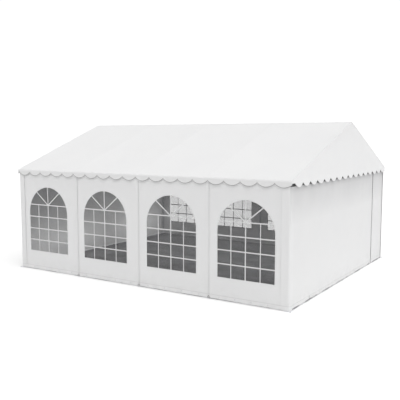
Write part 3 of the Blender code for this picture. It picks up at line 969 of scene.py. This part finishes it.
def make_corner(end, side):
    """The gable wall from its zip to the corner, and on round the post."""
    turned = end == "left"
    sign = (-1.0 if side == "front" else 1.0) * (-1.0 if turned else 1.0)
    outline = corner_line(
        DOOR_HALF_WIDTH - DOOR_OVERLAP, GABLE_RETURN - RETURN_TUCK, 0.0, CLOTH_STEP, sign, turned)
    along = distances(outline)
    seed = 60 + 10 * ENDS.index(end) + SIDES.index(side)
    broad = wave_field(seed, 6, 0.6, 1.6)
    small = wave_field(seed + 3, 8, 0.2, 0.45)
    corner_at = HALF_WIDTH - DOOR_HALF_WIDTH + DOOR_OVERLAP

    def rise(z):
        free = ramp(z, 0.08, 0.45)[:, None]
        flat = 1.0 - ramp(along, corner_at - 0.25, corner_at - 0.06)[None, :]
        billow = 0.0035 * (broad(along[None, :], z[:, None]) - 0.2) * flat
        ripple = 0.0007 * small(along[None, :], z[:, None]) * flat
        edge = (1.0 - ramp(along, 0.0, 0.05))[None, :] * ramp(z, 0.05, 0.16)[:, None]
        edge = edge * (1.0 - 0.5 * ramp(z, 0.9, 1.9)[:, None])
        sleeve = hem_sleeve(z)[:, None] * flat
        return -0.0008 + free * (billow + ripple) + sleeve + DOOR_FLAP_LIFT * edge

    wall = corner_sheet(f"corner_wall_{end}_{side}", outline, rise, GABLE_WALL_CLOTH)
    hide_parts(f"gable_wall_{end}_{side}")
    cover_line = corner_line(
        HALF_WIDTH - CORNER_COVER_REACH, GABLE_RETURN, COVER_GAP, COVER_STEP, sign, turned)
    cover_along = distances(cover_line)
    total = cover_along[-1]
    flutter = wave_field(seed + 7, 5, 0.35, 0.9)

    def cover_rise(z):
        near_edge = 1.0 - ramp(cover_along, 0.0, 0.030)[None, :]
        far_edge = ramp(cover_along, total - 0.060, total)[None, :]
        lively = (0.9 + 0.35 * flutter(z, 0.0))[:, None]
        settled = 0.35 + 0.65 * ramp(z, 0.02, 0.14)[:, None]
        sleeve = 0.6 * hem_sleeve(z)[:, None]
        return (FLAP_LIFT * near_edge + COVER_LIFT * far_edge) * lively * settled + sleeve + 0.0008

    cover = corner_sheet(f"corner_cover_{end}_{side}", cover_line, cover_rise, CORNER_CLOTH)


def gable_wall_wave(seed):
    broad = wave_field(seed, 8, 0.7, 2.0)
    small = wave_field(seed + 1, 9, 0.22, 0.50)
    folds = wave_field(seed + 2, 5, 0.12, 0.26)

    def wave(u, v):
        free = ramp(v, 0.08, 0.50) * (1.0 - 0.75 * ramp(v, 1.65, 2.0))
        hung = ramp(v, 1.30, 2.0)
        rise = -0.0018 + free * (0.0052 * (broad(u, v) - 0.35) + 0.0010 * small(u, v))
        rise = rise + 0.0022 * hung * (folds(u, 0.06 * v) + 0.2)
        tucked = ramp(np.abs(u), DOOR_HALF_WIDTH - 0.14, DOOR_HALF_WIDTH - 0.05)
        rise = rise * (1.0 - tucked) - 0.0050 * tucked
        return rise + hem_sleeve(v) * (1.0 - tucked)
    return wave


def make_door(end):
    """The middle of the gable wall, which unzips at both sides and rolls up."""
    face = gable_face(HALF_LENGTH, gable_wall_wave(80 + ENDS.index(end)), end == "left")
    u = line((-DOOR_HALF_WIDTH, 0.0), (DOOR_HALF_WIDTH, 0.0), CLOTH_STEP)[:, 0]
    solid = grid_sheet(face.at(u[None, :], WALL_ROWS[:, None]), CLOTH, face.out)
    door = build(f"door_sheet_{end}", [solid], GABLE_WALL_CLOTH)
    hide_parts(f"door_curtain_{end}")
    return door, face


def make_zip(end, face, sign):
    """Zip under the flap at one side of the door, with its slider at the foot."""
    u = sign * (DOOR_HALF_WIDTH - DOOR_OVERLAP - 0.008)
    parts = [
        ribbon(face, line((u, low), (u, high), step), width, lift, thickness)
        for low, high, step, width, lift, thickness in ZIP_STRIPS]
    name = f"door_zip_{end}_{'right' if sign > 0 else 'left'}"
    return build(name, parts, ZIP_TEETH)


def sheet_rows(half):
    """Places across the groundsheet, close together where its edge turns up."""
    flat = line((-half + 0.11, 0.0), (half - 0.11, 0.0), 0.045)[:, 0]
    edge = half - np.array(EDGE_ROWS)
    return np.concatenate([-edge, flat, edge[::-1]])


def make_groundsheet():
    """The floor sheet, which turns up against the ground rails over the plates."""
    lie = wave_field(91, 9, 0.5, 1.6)
    x, y = sheet_rows(GROUND_HALF_X)[None, :], sheet_rows(GROUND_HALF_Y)[:, None]
    crease = sum(ridge_bump(x, at, CREASE_WIDTH) for at in CREASES_X)
    crease = crease + sum(ridge_bump(y, at, CREASE_WIDTH) for at in CREASES_Y)
    inside = np.minimum(GROUND_HALF_X - np.abs(x), GROUND_HALF_Y - np.abs(y))
    level = GROUND_LEVEL + GROUND_WAVE * np.maximum(0.0, lie(x, y))
    level = level + GROUND_WAVE * np.minimum(crease, 1.0)
    over_plates = GROUND_OVER_PLATES * (1.0 - ramp(inside, 0.045, 0.085))
    level = np.maximum(level, GROUND_LEVEL + over_plates)
    height = level + GROUND_TURN_UP * (1.0 - ramp(inside, 0.0, 0.016))
    points = np.stack(np.broadcast_arrays(x, y, height), axis=2)
    solid = grid_sheet(points, 0.0008, (0.0, 0.0, 1.0))
    sheet = build("ground_sheet", [solid], GROUND)
    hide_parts("groundsheet")
    return sheet


def under_rafter(side, x, distance):
    """A point on the underside of a rafter's socket, and the way down from it."""
    down = np.array([0.0, -side * math.sin(SLOPE_ANGLE), -math.cos(SLOPE_ANGLE)])
    centre = np.array([
        x, side * distance * math.cos(SLOPE_ANGLE), RIDGE_RAIL_Z - distance * math.sin(SLOPE_ANGLE)])
    return centre + down * SOCKET_UNDERSIDE, down


def make_bolts():
    """Bolts through every socket, and the anchor bolts of the corner plates."""
    parts = []
    run = FRAME_Y / math.cos(SLOPE_ANGLE)
    for side in (-1.0, 1.0):
        y = side * (FRAME_Y - SOCKET_FACE)
        for x in POST_X:
            for z in (SOCKET_REACH - 0.035, EAVE_RAIL_Z - SOCKET_REACH + 0.035):
                parts += bolt((x, y, z), (0.0, -side, 0.0))
            for distance in (0.085, run - 0.115):
                parts += bolt(*under_rafter(side, x, distance))
        for end in (-1.0, 1.0):
            corner = (end * (FRAME_X + PLATE_BOLT), side * (FRAME_Y + PLATE_BOLT), PLATE_TOP_Z)
            parts += bolt(corner, (0.0, 0.0, 1.0))
    build("frame_bolts", parts, STEEL)


def make_hem_hardware(side, face):
    """Eyelets along the foot of a long wall, and a rubber loop at each seam."""
    eyelets, loops = [], []
    for low, high in zip([-EYELET_ENDS, *SEAM_X], [*SEAM_X, EYELET_ENDS]):
        eyelets += [eyelet(face, u, HEM_EYELET_Z) for u in np.linspace(low + 0.20, high - 0.20, 4)]
    for u in SEAM_X:
        loops.append(ring(face, u, LOOP_Z, *LOOP_SIZE, LOOP_LIFT, LOOP_CORD, 8))
        loops.append(prism(face.at(u, BUTTON_Z, 0.0100), face.out, 0.0095, 0.0060, 16, 0.0015))
    build(f"hem_eyelets_{side}", eyelets, STEEL)
    build(f"seam_loops_{side}", loops, RUBBER)


def make_gable_eyelets(end, face):
    eyelets = [eyelet(face, u, GABLE_EYELET_Z) for u in np.linspace(-1.60, 1.60, 11)]
    build(f"gable_eyelets_{end}", eyelets, STEEL)


def make_welts(roof_points):
    """Welt along both gable edges of the roof."""
    for end, column in (("left", 0), ("right", -1)):
        edge = roof_points[:, column]
        edge = np.concatenate([edge[:-1:2], edge[-1:]])
        welt = tube(edge, WELT_RADIUS, (1.0, 0.0, 0.0))
        build(f"roof_welt_{end}", [welt], WHITE_BINDING)


def make_stage():
    bpy.ops.mesh.primitive_plane_add(size=FLOOR_SIZE, location=(0.0, 0.0, -FLOOR_DROP))
    floor = bpy.context.active_object
    floor.name = "studio_floor"
    nodes = Nodes("studio_floor_white", grey(0.90), 0.85)
    ray = nodes.add("ShaderNodeLightPath")
    glow = nodes.span(ray.outputs["Is Camera Ray"], 0.0, 1.0, FLOOR_GLOW_LIT, FLOOR_GLOW_SEEN)
    nodes.set("Emission Color", (1.0, 1.0, 1.0, 1.0))
    nodes.set("Emission Strength", glow)
    floor.data.materials.append(nodes.material)


def add_lamp(name, kind, energy, back):
    """A lamp that shines away from its back; gives its data and its object."""
    light = bpy.data.lights.new(name, kind)
    light.energy = energy
    lamp = bpy.data.objects.new(name, light)
    bpy.context.scene.collection.objects.link(lamp)
    lamp.rotation_mode = "QUATERNION"
    lamp.rotation_quaternion = Vector(back).normalized().to_track_quat("Z", "Y")
    return light, lamp


def make_light():
    scene = bpy.context.scene
    scene.view_settings.view_transform = "Standard"
    world = bpy.data.worlds.new("studio_world")
    scene.world = world
    world.use_nodes = True
    tree = world.node_tree
    lit = tree.nodes["Background"]
    seen = tree.nodes.new("ShaderNodeBackground")
    for node, strength in ((lit, WORLD_LIT), (seen, WORLD_SEEN)):
        node.inputs["Color"].default_value = (1.0, 1.0, 1.0, 1.0)
        node.inputs["Strength"].default_value = strength
    ray = tree.nodes.new("ShaderNodeLightPath")
    mix = tree.nodes.new("ShaderNodeMixShader")
    tree.links.new(ray.outputs["Is Camera Ray"], mix.inputs[0])
    tree.links.new(lit.outputs[0], mix.inputs[1])
    tree.links.new(seen.outputs[0], mix.inputs[2])
    tree.links.new(mix.outputs[0], tree.nodes["World Output"].inputs["Surface"])
    sun, _ = add_lamp("key_light", "SUN", SUN_STRENGTH, SUN_BACK)
    sun.angle = SUN_ANGLE
    for name, place, size, watts, spread, back in INSIDE_LAMPS:
        area, lamp = add_lamp(name, "AREA", watts, back)
        area.shape = "RECTANGLE"
        area.size, area.size_y = size
        area.spread = math.radians(spread)
        lamp.visible_camera = False
        lamp.location = place


def make_camera():
    data = bpy.data.cameras.new("photo_camera")
    data.sensor_width = CAMERA_SENSOR
    data.lens = CAMERA_LENS
    camera = bpy.data.objects.new("photo_camera", data)
    bpy.context.scene.collection.objects.link(camera)
    camera.location = CAMERA_PLACE
    camera.rotation_euler = (math.radians(90.0 - CAMERA_DIP), 0.0, math.radians(CAMERA_TURN))
    bpy.context.scene.camera = camera


def make_long_side(side):
    turned = side == "back"
    face = long_face(HALF_WIDTH, wall_wave(40 + SIDES.index(side)), turned)
    ends = HALF_LENGTH - GABLE_RETURN + PANEL_TUCK
    edges = [-ends, *SEAM_X, ends]
    for place, centre in enumerate(WINDOW_X):
        bay = f"{side}_{len(WINDOW_X) - place if turned else place + 1}"
        low_u, high_u = edges[place:place + 2]
        panel = make_wall_panel(f"wall_panel_{bay}", face, low_u, high_u, centre, f"wall_{bay}")
        film = make_film(f"film_{bay}", face, centre, f"window_film_{bay}")
        bars = make_bars(f"window_bars_{bay}", face, centre)
        rim = make_rim(f"window_rim_{bay}", face, centre)
    for number, seam in enumerate(SEAM_X, start=1):
        flap = make_flap(f"seam_flap_{side}_{number}", face, seam)
    make_hem_hardware(side, face)
    valance = long_face(VALANCE_Y, valance_wave(LONG_SCALLOPS, 21), turned)
    return make_binding(
        f"valance_binding_{side}", valance, GABLE_CLOTH_X, LONG_SCALLOPS, SHADOW_GREY_BINDING)


def make_end(end):
    sheet, face = make_gable_top(end)
    binding = make_binding(
        f"gable_binding_{end}", face, GABLE_HALF_SPAN, GABLE_SCALLOPS, WHITE_BINDING)
    door, door_face = make_door(end)
    zips = [make_zip(end, door_face, sign) for sign in (-1.0, 1.0)]
    for side in SIDES:
        make_corner(end, side)
    make_gable_eyelets(end, door_face)


make_camera()
make_light()
make_stage()
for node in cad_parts.values():
    if node.material_slots and "cloth" not in node.name:
        node.material_slots[0].material = PLATE_STEEL if "ground_rail" in node.name else STEEL
roof_sheet, roof_points = make_roof()
bindings = [make_long_side(side) for side in SIDES]
for gable_end in ENDS:
    make_end(gable_end)
make_welts(roof_points)
make_bolts()
ground_sheet = make_groundsheet()
